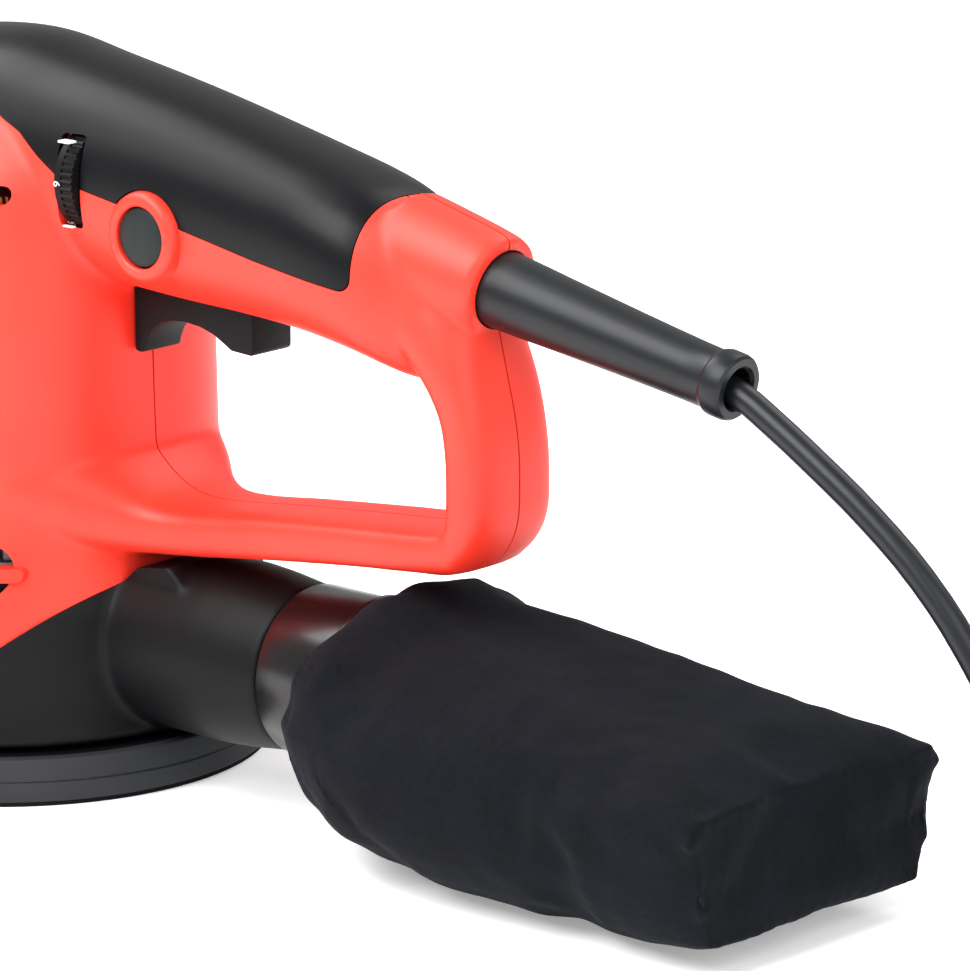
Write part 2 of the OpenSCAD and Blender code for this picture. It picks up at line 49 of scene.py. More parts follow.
# ---------- camera, light and floor ----------
view = {"azimuth": 41, "elevation": 14, "distance": 1.2, "aim": (0.0784, 0.0878, 0.0593), "lens": 178}
lamps = [
    # name, azimuth, elevation, distance, size, watts
    ("keyLamp", -10, 48, 1.5, 1.0, 30),
    ("bandLamp", -80, 50, 1.5, 0.8, 16),
    ("fillLamp", 75, 30, 1.7, 1.3, 14),
    ("backLamp", 170, 50, 1.6, 1.0, 8),
]


def direction(azimuth, elevation):
    a, e = math.radians(azimuth), math.radians(elevation)
    return Vector((math.sin(a) * math.cos(e), -math.cos(a) * math.cos(e), math.sin(e)))


def addCamera():
    data = bpy.data.cameras.new("camera")
    data.lens = view["lens"]
    data.clip_end = 20
    camera = bpy.data.objects.new("camera", data)
    scene.collection.objects.link(camera)
    back = direction(view["azimuth"], view["elevation"])
    camera.location = Vector(view["aim"]) + back * view["distance"]
    camera.rotation_euler = back.to_track_quat("Z", "Y").to_euler()
    scene.camera = camera


def addLamps():
    middle = Vector((0.06, 0, 0.08))
    for name, azimuth, elevation, distance, size, watts in lamps:
        data = bpy.data.lights.new(name, "AREA")
        data.size = size
        data.energy = watts
        lamp = bpy.data.objects.new(name, data)
        scene.collection.objects.link(lamp)
        back = direction(azimuth, elevation)
        lamp.location = middle + back * distance
        lamp.rotation_euler = back.to_track_quat("Z", "Y").to_euler()
    world = bpy.data.worlds.new("studio")
    world.use_nodes = True
    world.node_tree.nodes["Background"].inputs["Color"].default_value = (1, 1, 1, 1)
    world.node_tree.nodes["Background"].inputs["Strength"].default_value = 0.55
    scene.world = world
    scene.view_settings.view_transform = "Standard"


# ---------- materials ----------
def linear(hexText):
    values = [int(hexText[i:i + 2], 16) / 255 for i in (1, 3, 5)]
    return tuple(v / 12.92 if v <= 0.04045 else ((v + 0.055) / 1.055) ** 2.4 for v in values) + (1,)


def addNode(material, kind, settings=None, links=None):
    tree = material.node_tree
    node = tree.nodes.new(kind)
    for name, value in (settings or {}).items():
        if name in node.inputs:
            node.inputs[name].default_value = value
        else:
            setattr(node, name, value)
    for name, output in (links or {}).items():
        tree.links.new(output, node.inputs[name])
    return node


def startMaterial(name):
    material = bpy.data.materials.new(name)
    material.use_nodes = True
    material.node_tree.nodes.clear()
    place = addNode(material, "ShaderNodeTexCoord")
    return material, place.outputs["Object"]


def finishMaterial(material, shader):
    addNode(material, "ShaderNodeOutputMaterial", {}, {"Surface": shader.outputs["BSDF"]})
    return material


def noiseAt(material, place, size, detail=2, rough=0.5):
    # size is the width of one blotch in metres
    return addNode(material, "ShaderNodeTexNoise", {"Scale": 1 / size, "Detail": detail, "Roughness": rough},
                   {"Vector": place}).outputs["Fac"]


def ramp(material, value, low, high, dark, light):
    node = addNode(material, "ShaderNodeValToRGB", {}, {"Fac": value})
    node.color_ramp.elements[0].position = low
    node.color_ramp.elements[1].position = high
    node.color_ramp.elements[0].color = dark
    node.color_ramp.elements[1].color = light
    return node.outputs["Color"]


def spread(material, value, low, high):
    return addNode(material, "ShaderNodeMapRange", {"To Min": low, "To Max": high},
                   {"Value": value}).outputs["Result"]


def bumpOf(material, height, distance, strength=0.5, under=None):
    links = {"Height": height}
    if under is not None:
        links["Normal"] = under
    return addNode(material, "ShaderNodeBump", {"Strength": strength, "Distance": distance}, links).outputs["Normal"]


def mouldedPlastic(name, dark, light, roughness, grain=0.0004, depth=0.00003, shine=0.5, strength=0.4):
    # injection moulded: even colour with faint cloudiness and a fine spark-eroded grain
    material, place = startMaterial(name)
    cloud = noiseAt(material, place, 0.03, 3)
    fine = noiseAt(material, place, grain, 2)
    colour = ramp(material, cloud, 0.3, 0.7, linear(dark), linear(light))
    sheen = spread(material, fine, roughness - 0.05, roughness + 0.05)
    bump = bumpOf(material, fine, depth, strength)
    return finishMaterial(material, addNode(material, "ShaderNodeBsdfPrincipled", {"Specular IOR Level": shine},
                          {"Base Color": colour, "Roughness": sheen, "Normal": bump}))


def metal(name, dark, light, roughness, stretch=(1, 1, 40)):
    # turned or rolled metal: fine lines along the lathe's path
    material, place = startMaterial(name)
    mapping = addNode(material, "ShaderNodeMapping", {"Scale": stretch}, {"Vector": place})
    lines = noiseAt(material, mapping.outputs["Vector"], 0.01, 4)
    colour = ramp(material, lines, 0.3, 0.7, linear(dark), linear(light))
    sheen = spread(material, lines, roughness - 0.06, roughness + 0.08)
    bump = bumpOf(material, lines, 0.00001, 0.3)
    return finishMaterial(material, addNode(material, "ShaderNodeBsdfPrincipled", {"Metallic": 1.0},
                          {"Base Color": colour, "Roughness": sheen, "Normal": bump}))


def windings(name, dark, light):
    # enamelled copper wire laid side by side
    material, place = startMaterial(name)
    wave = addNode(material, "ShaderNodeTexWave", {"Scale": 320, "Distortion": 1.0, "Detail": 1.0},
                   {"Vector": place})
    colour = ramp(material, wave.outputs["Fac"], 0.1, 0.8, linear(dark), linear(light))
    bump = bumpOf(material, wave.outputs["Fac"], 0.0003, 0.8)
    return finishMaterial(material, addNode(material, "ShaderNodeBsdfPrincipled", {"Metallic": 0.7, "Roughness": 0.35},
                          {"Base Color": colour, "Normal": bump}))


def wovenCloth(name, dark, light, thread=0.0009):
    # plain weave polyester: crossed threads, drawn a little coarse so that they show
    material, place = startMaterial(name)
    cloud = noiseAt(material, place, 0.02, 4, 0.6)
    fluff = noiseAt(material, place, 0.0015, 3, 0.6)
    weave = None
    for axis in ("X", "Y", "Z"):
        wave = addNode(material, "ShaderNodeTexWave", {"bands_direction": axis, "Scale": 0.314 / thread,
                       "Distortion": 0.6, "Detail": 1.0, "Detail Scale": 2.0}, {"Vector": place}).outputs["Fac"]
        weave = wave if weave is None else addNode(material, "ShaderNodeMath", {"operation": "ADD"},
                                                   {0: weave, 1: wave}).outputs["Value"]
    mixed = addNode(material, "ShaderNodeMix", {"data_type": "FLOAT", "Factor": 0.5}, {"A": cloud, "B": fluff})
    colour = ramp(material, mixed.outputs["Result"], 0.3, 0.7, linear(dark), linear(light))
    bump = bumpOf(material, weave, 0.00006, 0.4, bumpOf(material, fluff, 0.0003, 0.35))
    return finishMaterial(material, addNode(material, "ShaderNodeBsdfPrincipled", {
        "Roughness": 0.9, "Sheen Weight": 0.03, "Sheen Roughness": 0.5, "Sheen Tint": linear("#9AA3B8"),
        "Specular IOR Level": 0.1}, {"Base Color": colour, "Normal": bump}))


def studioFloor():
    material, place = startMaterial("paintedFloor")
    cloud = noiseAt(material, place, 0.4, 2)
    colour = ramp(material, cloud, 0.2, 0.8, linear("#FCFCFC"), linear("#FFFFFF"))
    return finishMaterial(material, addNode(material, "ShaderNodeBsdfPrincipled", {"Roughness": 0.9,
                          "Specular IOR Level": 0.1, "Emission Color": (1, 1, 1, 1), "Emission Strength": 0.3}, {"Base Color": colour}))


redAbs = mouldedPlastic("redMouldedAbs", "#E8301F", "#EE3826", 0.45, shine=0.4)       # satin, fine grain
softGrip = mouldedPlastic("softTouchElastomer", "#08090B", "#0B0C0E", 0.36, 0.0006, 0.00002, 0.16)   # dull black rubber
blackNylon = mouldedPlastic("blackGlassNylon", "#08090B", "#0C0D0F", 0.48, 0.0005, 0.00003, 0.14)     # matt
glossBlack = mouldedPlastic("polishedBlackAbs", "#08090A", "#0B0C0D", 0.24, 0.002, 0.00001, 0.4)
plateBlack = mouldedPlastic("printedPlateFilm", "#0D0E11", "#121316", 0.38, 0.0008, 0.00001, 0.3)
cordPvc = mouldedPlastic("cordPvc", "#0C0E12", "#12151A", 0.36, 0.001, 0.00002, 0.35)
guardPvc = mouldedPlastic("guardPvc", "#0D0F12", "#121519", 0.38, 0.0008, 0.00002, 0.3)
sealRubber = mouldedPlastic("sealRubber", "#0E0F11", "#151618", 0.6, shine=0.25)
buttonPlastic = mouldedPlastic("buttonNylon", "#181D1D", "#1E2424", 0.5, shine=0.2)
padFoam = mouldedPlastic("skinnedFoam", "#1E2024", "#282A2E", 0.62, 0.0007, 0.00012, 0.3)
carbon = mouldedPlastic("pressedCarbon", "#1A1A1C", "#242426", 0.55)
boardGreen = mouldedPlastic("glassLaminate", "#1B4A2A", "#22603A", 0.4)
filmYellow = mouldedPlastic("capacitorFilm", "#C9A227", "#D9B53C", 0.25)
# white for the printed dial digits, and for the two slot strips, which are painted highlights
whitePrintAndHighlight = mouldedPlastic("whitePrintAndPaintedHighlight", "#D8D8D6", "#E6E6E4", 0.5)
steel = metal("turnedSteel", "#8E9196", "#B4B8BD", 0.3)
castMetal = metal("dieCastAluminium", "#9A9C9F", "#AFB1B4", 0.5, (3, 3, 3))
brass = metal("stampedBrass", "#A8813A", "#C49C50", 0.35)
pinMetal = metal("nickelPlate", "#B8B3A2", "#CFCBBC", 0.25)
copper = windings("enamelledCopper", "#6B2D12", "#B8622C")
bagCloth = wovenCloth("blackWovenPolyester", "#090A0D", "#111319")
hookTape = wovenCloth("hookTape", "#0E0F10", "#191A1C", 0.0014)
print("materials ready")

nodeMaterials = {
    "steel": steel, "plate_metal": castMetal, "copper": copper, "brass_part": brass, "carbon": carbon,
    "board": boardGreen, "film_yellow": filmYellow, "seal_rubber": sealRubber, "black_housing": blackNylon,
    "black_gloss": glossBlack, "red_shell": redAbs, "soft_grip": softGrip, "badge_plate": plateBlack,
    "cord_sheath": cordPvc, "guard_rubber": guardPvc, "plug_plastic": blackNylon, "pin_metal": pinMetal,
    "foam": padFoam, "hook": hookTape, "button_plastic": buttonPlastic, "bag_cloth": bagCloth}
slotOf = {part["node"]: part["material_slot"] for part in frame["record"]["subparts"]}


def dressNodes():
    for name, piece in nodes.items():
        piece.data.materials.clear()
        piece.data.materials.append(nodeMaterials[slotOf[name]])


# ---------- shared mesh tools ----------
def makePiece(name, bm, sharp=35):
    bmesh.ops.remove_doubles(bm, verts=bm.verts, dist=0.000001)
    bmesh.ops.recalc_face_normals(bm, faces=bm.faces)
    mesh = bpy.data.meshes.new(name)
    bm.to_mesh(mesh)
    bm.free()
    piece = bpy.data.objects.new(name, mesh)
    scene.collection.objects.link(piece)
    shade(piece, sharp)
    return piece


def shade(piece, sharp=35):
    piece.data.shade_smooth()
    piece.data.set_sharp_from_angle(angle=math.radians(sharp))


def bakeModifiers(piece, sharp=35):
    # what the modifiers make becomes the piece's own mesh
    graph = bpy.context.evaluated_depsgraph_get()
    mesh = bpy.data.meshes.new_from_object(piece.evaluated_get(graph))
    piece.modifiers.clear()
    old = piece.data
    piece.data = mesh
    bpy.data.meshes.remove(old)
    shade(piece, sharp)
    return piece


def copyPiece(piece, name):
    copy = piece.copy()
    copy.data = piece.data.copy()
    copy.name = name
    scene.collection.objects.link(copy)
    return copy


def blendSurface(piece, voxel, rounds, factor=0.5):
    remesh = piece.modifiers.new("blend", "REMESH")
    remesh.mode = "VOXEL"
    remesh.voxel_size = voxel
    if rounds:
        smooth = piece.modifiers.new("smooth", "SMOOTH")
        smooth.iterations = rounds
        smooth.factor = factor
    return bakeModifiers(piece)


def swell(piece, distance):
    push = piece.modifiers.new("swell", "DISPLACE")
    push.strength = distance
    push.mid_level = 0
    return bakeModifiers(piece)


def cut(piece, cutters, operation="DIFFERENCE", keep=False):
    for cutter in cutters if isinstance(cutters, list) else [cutters]:
        boolean = piece.modifiers.new("cut", "BOOLEAN")
        boolean.operation = operation
        boolean.solver = "MANIFOLD"
        boolean.object = cutter
        bakeModifiers(piece)
        if not keep:
            bpy.data.objects.remove(cutter)
    return piece


def finishPiece(piece, body, material, replaced=()):
    piece.data.materials.clear()
    piece.data.materials.append(material)
    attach(piece, body)
    if replaced:
        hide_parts(*replaced)
    return piece


def smoothRows(rows, step):
    # more rows between the given ones, on a smooth curve through them
    found = []
    for i in range(len(rows) - 1):
        before, here, there, after = rows[max(i - 1, 0)], rows[i], rows[i + 1], rows[min(i + 2, len(rows) - 1)]
        span = there[0] - here[0]
        count = max(1, round(abs(span) / step))
        for k in range(count):
            t = k / count
            row = [here[0] + span * t]
            for a, b, c, d in list(zip(before, here, there, after))[1:]:
                slopeB = (c - a) / (there[0] - before[0]) * span
                slopeC = (d - b) / (after[0] - here[0]) * span
                row.append((2 * t**3 - 3 * t**2 + 1) * b + (t**3 - 2 * t**2 + t) * slopeB
                           + (3 * t**2 - 2 * t**3) * c + (t**3 - t**2) * slopeC)
            found.append(row)
    return found + [list(rows[-1])]


def loft(bm, rows, along, step=4, segments=72):
    # rows: place, low, high, half width, squareness, all in mm; along is "x" or "z"
    turn = bm.verts.layers.float.get("turn") or bm.verts.layers.float.new("turn")
    ring = set(bmesh.ops.create_circle(bm, cap_ends=False, radius=1, segments=segments)["verts"])
    for v in ring:
        v[turn] = math.atan2(v.co.y, v.co.x)
    edges = list({e for v in ring for e in v.link_edges})
    ends = [edges]
    for i, (place, low, high, half, square) in enumerate(smoothRows(rows, step)):
        if i:
            made = bmesh.ops.extrude_edge_only(bm, edges=edges)["geom"]
            ring = {g for g in made if isinstance(g, bmesh.types.BMVert)}
            edges = [g for g in made if isinstance(g, bmesh.types.BMEdge) and ring.issuperset(g.verts)]
        for v in ring:
            c, s = math.cos(v[turn]), math.sin(v[turn])
            a = math.copysign(abs(c) ** (2 / square), c)
            b = math.copysign(abs(s) ** (2 / square), s)
            middle, reach = (low + high) / 2, (high - low) / 2
            spot = (middle + reach * a, half * b, place) if along == "z" else (place, half * a, middle + reach * b)
            v.co = Vector(spot) * mm
    ends.append(edges)
    for edges in ends:
        bmesh.ops.edgeloop_fill(bm, edges=edges)


def turned(bm, profile, steps=64, place=Matrix.Identity(4)):
    # profile: radius and height in mm, closed by the axis or on itself, spun about Z and then placed
    before = set(bm.verts)
    verts = [bm.verts.new((r * mm, 0, h * mm)) for r, h in profile]
    edges = [bm.edges.new(pair) for pair in zip(verts, verts[1:])]
    if profile[0][0] > 0:
        edges.append(bm.edges.new((verts[-1], verts[0])))
    bmesh.ops.spin(bm, geom=verts + edges, cent=(0, 0, 0), axis=(0, 0, 1), angle=math.tau, steps=steps, use_merge=True)
    bmesh.ops.remove_doubles(bm, verts=[v for v in bm.verts if v not in before], dist=0.0000005)
    bmesh.ops.transform(bm, matrix=place, verts=[v for v in bm.verts if v not in before])


def prism(name, outline, near, far, rounds=None):
    # outline in mm seen from the side (x, z), pushed along Y from near to far; rounds: corner number to radius
    bm = bmesh.new()
    verts = [bm.verts.new((x * mm, near * mm, z * mm)) for x, z in outline]
    made = bmesh.ops.extrude_face_region(bm, geom=[bm.faces.new(verts)])["geom"]
    bmesh.ops.translate(bm, vec=(0, (far - near) * mm, 0), verts=[g for g in made if isinstance(g, bmesh.types.BMVert)])
    for corner, radius in (rounds or {}).items():
        edge = [e for e in verts[corner].link_edges if abs(e.verts[0].co.y - e.verts[1].co.y) > 1e-6]
        bmesh.ops.bevel(bm, geom=edge, offset=radius * mm, segments=8, profile=0.5, affect="EDGES", material=-1)
    return makePiece(name, bm)


def boxPiece(name, low, high, rounding=0, segments=3):
    bm = bmesh.new()
    bmesh.ops.create_cube(bm, size=1)
    low, high = Vector(low) * mm, Vector(high) * mm
    bmesh.ops.scale(bm, vec=high - low, verts=bm.verts)
    bmesh.ops.translate(bm, vec=(low + high) / 2, verts=bm.verts)
    if rounding:
        bmesh.ops.bevel(bm, geom=bm.edges[:], offset=rounding * mm, segments=segments, profile=0.5, affect="EDGES",
                        material=-1)
    return makePiece(name, bm)


def rod(name, radius, near, far, place=Matrix.Identity(4), segments=48, endRadius=None):
    # plain round cutter or bar along its own Z
    bm = bmesh.new()
    bmesh.ops.create_cone(bm, cap_ends=True, segments=segments, radius1=radius * mm,
                          radius2=(endRadius or radius) * mm, depth=(far - near) * mm)
    bmesh.ops.translate(bm, vec=(0, 0, (far + near) / 2 * mm), verts=bm.verts)
    bmesh.ops.transform(bm, matrix=place, verts=bm.verts)
    return makePiece(name, bm)


def facing(point, forward):
    # matrix that puts a piece's own Z along forward, at the point in mm
    return Matrix.Translation(Vector(point) * mm) @ Vector(forward).to_track_quat("Z", "Y").to_matrix().to_4x4()


addCamera()
addLamps()
dressNodes()
bm = bmesh.new()
bmesh.ops.create_grid(bm, x_segments=4, y_segments=4, size=6)
studio = makePiece("floor", bm)
studio.data.materials.append(studioFloor())


# ---------- mains lead: the coil is out of sight behind the guard, on the floor ----------
lead = {
    "diameter": 6.2, "length": 2.0,
    "route": [(214, 0, 123.5), (220, 0, 122.2), (227, 0, 120), (236, 0, 115.2), (247, 0, 108.6), (262, 0, 98.8),
              (276, 0, 87.6), (288, 0, 74.5), (298, 0, 60), (306, 0, 45), (313, 0, 30), (319, 0, 18),
              (326, 0, 8.4), (334, 0, 4), (342, 0, 3.2)],
    "coilAt": (342, 40.2),
    # the wind: turns made so far, radius, height
    "wind": [(0, 40.2, 3.2), (0.85, 40.2, 3.2), (1.15, 34, 3.2), (1.85, 34, 3.2), (2.15, 27.8, 3.2), (2.8, 27.8, 3.2),
             (3.1, 27.8, 9.5), (3.75, 27.8, 9.5), (4.05, 34, 9.5), (4.75, 34, 9.5), (5.05, 40.2, 9.5),
             (5.7, 40.2, 9.5), (6.0, 40.2, 15.8), (6.8, 40.2, 15.8), (7.1, 34, 15.8), (7.7, 34, 15.8),
             (8.1, 38.4, 22.0)],
    "plugRise": [(381.6, 44.5, 22.6), (380.6, 51.2, 23.4), (376.4, 59.0, 24.3), (369.2, 64.9, 25.0),
                 (361.5, 67.1, 25.3), (355.5, 67.2, 25.3)],
}


def windPoint(turns):
    table = lead["wind"]
    for (t0, r0, z0), (t1, r1, z1) in zip(table, table[1:]):
        if turns <= t1 + 1e-9:
            k = (turns - t0) / (t1 - t0)
            k = k * k * (3 - 2 * k)
            r, z = r0 + (r1 - r0) * k, z0 + (z1 - z0) * k
            break
    angle = math.tau * (turns - 0.25)
    return (lead["coilAt"][0] + r * math.cos(angle), lead["coilAt"][1] + r * math.sin(angle), z)


def leadPoints():
    last = lead["wind"][-1][0]
    steps = round(last * 20)
    return lead["route"][:-1] + [windPoint(last * k / steps) for k in range(steps + 1)] + lead["plugRise"]


def addCurve(name, points, radius, sides=4):
    curve = bpy.data.curves.new(name, "CURVE")
    curve.dimensions = "3D"
    curve.bevel_depth = radius * mm
    curve.bevel_resolution = sides
    curve.use_fill_caps = True
    curve.resolution_u = 3
    spline = curve.splines.new("BEZIER")
    spline.bezier_points.add(len(points) - 1)
    for spot, point in zip(spline.bezier_points, points):
        spot.co = Vector(point) * mm
        spot.handle_left_type = spot.handle_right_type = "AUTO"
    piece = bpy.data.objects.new(name, curve)
    scene.collection.objects.link(piece)
    return piece


cord = finishPiece(addCurve("mainsCord", leadPoints(), lead["diameter"] / 2), "root", cordPvc,
                   ["cord_lead", "cord_coil"])
print("mains lead ready")

# ---------- red shells, soft grip and badge plates, all cut from one smooth form ----------
shell = {
    "voxel": 0.9, "rounds": 14, "wall": 2.6, "gripDepth": 2.0, "gap": 0.3,
    # column: z, front x, rear x, half width, squareness
    "column": [(22, -57.5, 57.5, 57, 2), (36, -57.5, 57.5, 57, 2), (46, -56, 57, 55, 2), (53, -52.5, 55, 51, 2.1),
               (60, -49, 53, 46.5, 2.3), (67, -47, 52, 43.5, 2.5), (78, -46, 50.8, 42, 2.7),
               (105, -46, 50, 42, 2.7), (128, -46.5, 50, 41.5, 2.5), (145, -46, 49, 39.5, 2.3),
               (154, -43.6, 45, 35.5, 2.2), (162, -39, 38, 29.5, 2.1), (168.5, -32, 28, 22.5, 2),
               (173, -24, 16, 15, 2), (175.4, -16, 6, 8, 2)],
    # handle: x, bottom z, top z, half width, squareness
    "handle": [(-26, 140, 170, 20, 2), (-20, 138, 173.6, 23.5, 2.05), (-12, 136.6, 176.4, 26, 2.1),
               (0, 135, 178, 27.4, 2.1), (16, 124, 178, 27.4, 2.1), (34, 121.5, 174.9, 26.2, 2.1),
               (52, 120.6, 171.6, 24.6, 2.2), (70, 119.6, 168, 23, 2.3), (88, 119, 164, 22, 2.35),
               (105, 118, 160, 21.5, 2.4), (118, 116.4, 156.8, 21.5, 2.4), (128, 114.4, 153.6, 20.6, 2.4),
               (134, 112.6, 150.2, 18.5, 2.4), (140, 111, 146.6, 15.4, 2.3), (148, 112, 144.4, 13, 2.2)],
    # rear bar: z, inner x, outer x, half width, squareness
    "rearBar": [(136, 120, 155, 11.6, 2.3), (130, 124, 157.4, 14, 2.5), (122, 134, 159.6, 15, 2.6),
                (114, 144, 161.6, 15, 2.8), (106, 149.6, 163.6, 14.4, 3), (98, 151.6, 164.8, 14.2, 3.2),
                (90, 152.2, 165, 14.2, 3.4), (82, 152, 164.6, 14.2, 3.4), (76, 150.4, 162.4, 13.8, 3.2),
                (71, 147, 158, 12.6, 3), (68, 141, 152, 9.8, 2.6)],
    # lower bar: x, bottom z, top z, half width, squareness
    "lowerBar": [(36, 56, 90, 36, 2.4), (48, 56.5, 83, 28, 2.5), (56, 57.4, 76.2, 21.5, 2.8),
                 (64, 58.2, 72.4, 17.4, 3.2), (75, 59.4, 71.8, 15.2, 3.6), (97, 62.4, 74.2, 14.2, 4),
                 (125, 65.8, 77, 14.2, 4), (145, 67.8, 78.8, 14.2, 4), (156, 69.4, 80.2, 14.2, 4)],
    "gripLine": [(-70, 167), (8, 166), (24, 161.6), (32, 158), (38.5, 153), (45.5, 148.4), (52, 146.6), (76.5, 141.6),
                 (103.5, 136.2), (131.6, 132), (131.6, 200), (-70, 200)],
    "gripCorner": (9, 3.2),     # which corner of the outline is rounded, and its radius
    "splitLine": [(-80, 0), (-80, 24), (18, 24), (28, 27.5), (58.5, 55.5), (92, 60.6), (92, 0)],
    "guardAt": (160, 0, 134), "guardTilt": 10.8,
    "screws": [(-39.5, 66, 20), (44, 66, 20), (-34, 128, 27), (35, 128, 27), (112, 126, 14), (157.5, 84, 9)],
    "button": (70.7, 137.8), "buttonRadius": 7, "ringRadius": 10.6,
    "dial": (48, -14, 147.8), "dialRadius": 13, "dialWidth": 6,
    "trigger": (50.5, 89.3), "triggerHalf": 6.6, "seam": 0.46,
}
guardSlope = math.radians(shell["guardTilt"])
guardForward = Vector((math.cos(guardSlope), 0, -math.sin(guardSlope)))
sideways = Vector((0, -1, 0))                               # towards the left shell


def alongGuard(distance):
    # point in mm on the guard's axis, that far past the socket's mouth
    return Vector(shell["guardAt"]) + guardForward * distance


def redForm():
    bm = bmesh.new()
    loft(bm, shell["column"], "z")
    loft(bm, shell["handle"], "x")
    loft(bm, shell["rearBar"], "z", 3)
    loft(bm, shell["lowerBar"], "x", 3)
    boss = facing(alongGuard(0), guardForward)
    turned(bm, [(0, -28), (14.2, -28), (13.6, -18), (12.9, -8), (12.3, -2), (11.7, 0), (0, 0)], 64, boss)
    x, z = shell["button"]                                  # soft mound under the button's ring
    turned(bm, [(0, 10), (12.4, 10), (11.4, 20), (9.6, 22.4), (0, 22.4)], 64, facing((x, 0, z), sideways))
    return blendSurface(makePiece("redForm", bm), shell["voxel"] * mm, shell["rounds"])


def cutAway(form, piece, depth):
    # leaves only the skin of the piece, that thick under the form's surface
    inner = swell(copyPiece(form, "inner"), -depth * mm)
    return cut(piece, inner)


def badgePrism(name, grow=0.0):
    w, h = 33 + grow, 20.5 + grow
    corners = [(-w, 100.5 - h), (w, 100.5 - h), (w, 100.5 + h), (-w, 100.5 + h)]
    return prism(name, corners, -70, 70, {k: 4 + grow for k in range(4)})


def slot(name, middle, reach, height, near=-70, far=70):
    x, z = middle
    h = height / 2
    outline = [(x - reach, z - h), (x + reach, z - h), (x + reach, z + h), (x - reach, z + h)]
    return prism(name, outline, near, far, {k: h * 0.98 for k in range(4)})


form = redForm()
hollow = blendSurface(swell(copyPiece(form, "hollow"), -shell["wall"] * mm), 1.8 * mm, 4)
corner, radius = shell["gripCorner"]
gripCut = cutAway(form, prism("gripCut", shell["gripLine"], -70, 70, {corner: radius}), shell["gripDepth"] + 0.05)
badgeCut = cutAway(form, badgePrism("badgeCut", 0.15), 1.5)
print("red form ready:", len(form.data.polygons), "faces")

gripOutline = [(x - shell["gap"] * 0.8, z + shell["gap"]) for x, z in shell["gripLine"]]
grip = cut(copyPiece(form, "topGrip"), prism("gripPrism", gripOutline, -70, 70, {corner: radius}), "INTERSECT")
grip = cutAway(form, grip, shell["gripDepth"])
plates = cutAway(form, cut(copyPiece(form, "badgePlates"), badgePrism("badgePrism"), "INTERSECT"), 1.4)
swell(plates, -0.0003)

body = cut(copyPiece(form, "redBody"), hollow)
cut(body, [gripCut, badgeCut, prism("splitCut", shell["splitLine"], -90, 90)])
dialX, dialY, dialZ = shell["dial"]
dialSlot = prism("dialSlot", [(dialX - 3.5, 137.2), (dialX + 3.5, 137.2), (dialX + 3.5, 159.2), (dialX - 3.5, 159.2)],
                 -50, -16, {0: 1.2, 1: 1.2, 2: 1.2, 3: 1.2})
dialWell = rod("dialWell", shell["dialRadius"] + 0.7, -3.6, 3.6, facing(shell["dial"], (1, 0, 0)))
cut(grip, [dialSlot, dialWell], keep=True)
cut(body, [dialSlot, dialWell])
x, z = shell["button"]
cut(grip, rod("ringClear", shell["ringRadius"] + 0.35, 5, 40, facing((x, 0, z), sideways)))
triggerNear, triggerFar = shell["trigger"]
triggerGap = shell["triggerHalf"] + 0.4
cut(body, [
    rod("buttonBore", shell["buttonRadius"] + 0.35, 8, 40, facing((x, 0, z), sideways)),
    boxPiece("triggerSlot", (triggerNear - 0.3, -triggerGap, 104), (triggerFar + 0.4, triggerGap, 126)),
    rod("guardBore", 9.2, -24, 20, facing(shell["guardAt"], guardForward)),
    slot("lowerVent", (0, 54.6), 39, 13.4), slot("upperVent", (0, 144), 35, 4.6), slot("middleVent", (0, 136), 33, 4.6)])
for x, z, y in shell["screws"]:
    cut(body, rod("screwWell", 3.5, y, 80, facing((x, 0, z), -sideways)))
rib = cut(swell(copyPiece(form, "ventRib"), 0.0012),
          boxPiece("ribBand", (-41.6, -80, 52.9), (41.6, 80, 56.1), 1.2), "INTERSECT")
cut(body, cutAway(form, rib, shell["wall"]), "UNION")
seam = shell["seam"] / 2
left = cut(copyPiece(body, "housingLeft"), boxPiece("leftHalf", (-120, -120, 0), (260, -seam, 240)), "INTERSECT")
right = cut(body, boxPiece("rightHalf", (-120, seam, 0), (260, 120, 240)), "INTERSECT")
right.name = "housingRight"
bm = bmesh.new()                                            # raised ring round the lock button
inner, outer = shell["buttonRadius"] + 0.35, shell["ringRadius"]
x, z = shell["button"]
turned(bm, [(inner, 17), (outer + 0.6, 17), (outer, 23), (outer - 0.3, 24), (outer - 0.9, 24.7), (outer - 1.7, 25),
            (inner + 0.5, 25), (inner, 24.6)], 96, facing((x, 0, z), sideways))
cut(left, makePiece("lockRing", bm), "UNION")
bpy.data.objects.remove(form)
finishPiece(left, "root", redAbs, ["housing_left"])
finishPiece(right, "root", redAbs, ["housing_right"])
finishPiece(grip, "root", softGrip, ["top_grip"])
finishPiece(plates, "root", plateBlack, ["badge_left", "badge_right"])
print("shells ready:", len(left.data.polygons), len(right.data.polygons), len(grip.data.polygons), "faces")

# ---------- lower housing: drum, dust port and skirt ----------
shroud = {
    "drum": [(0, 13.2), (59.4, 13.2), (60, 13.8), (60, 15.6), (59.2, 17.2), (58.6, 22), (58.2, 34), (57.4, 44), (54, 54),
             (50, 57), (0, 57)],
    "core": [(0, 16), (54.2, 16), (54.2, 34), (50.2, 43), (45.5, 50), (0, 50)],
    "void": [(0, 5), (51.3, 5), (51.3, 33.4), (47.4, 42), (44.8, 46), (0, 46)],
    "portAt": (0, 0, 35.3), "tube": [(0, 26), (19, 26), (21.4, 30), (22, 36), (22, 80), (21.4, 88), (19.8, 101), (0, 101)],
    "spigot": (18.6, 128),
    "saddle": [(38, 36), (70, 36), (74.5, 50), (71.5, 55.5), (66, 58), (38, 58)], "saddleHalf": 15,
    "voxel": 0.9, "rounds": 9,
}
portForward = facing(shroud["portAt"], (1, 0, 0))
bm = bmesh.new()
turned(bm, shroud["drum"], 128)
turned(bm, shroud["tube"], 80, portForward)
lowerForm = makePiece("lowerHousing", bm)
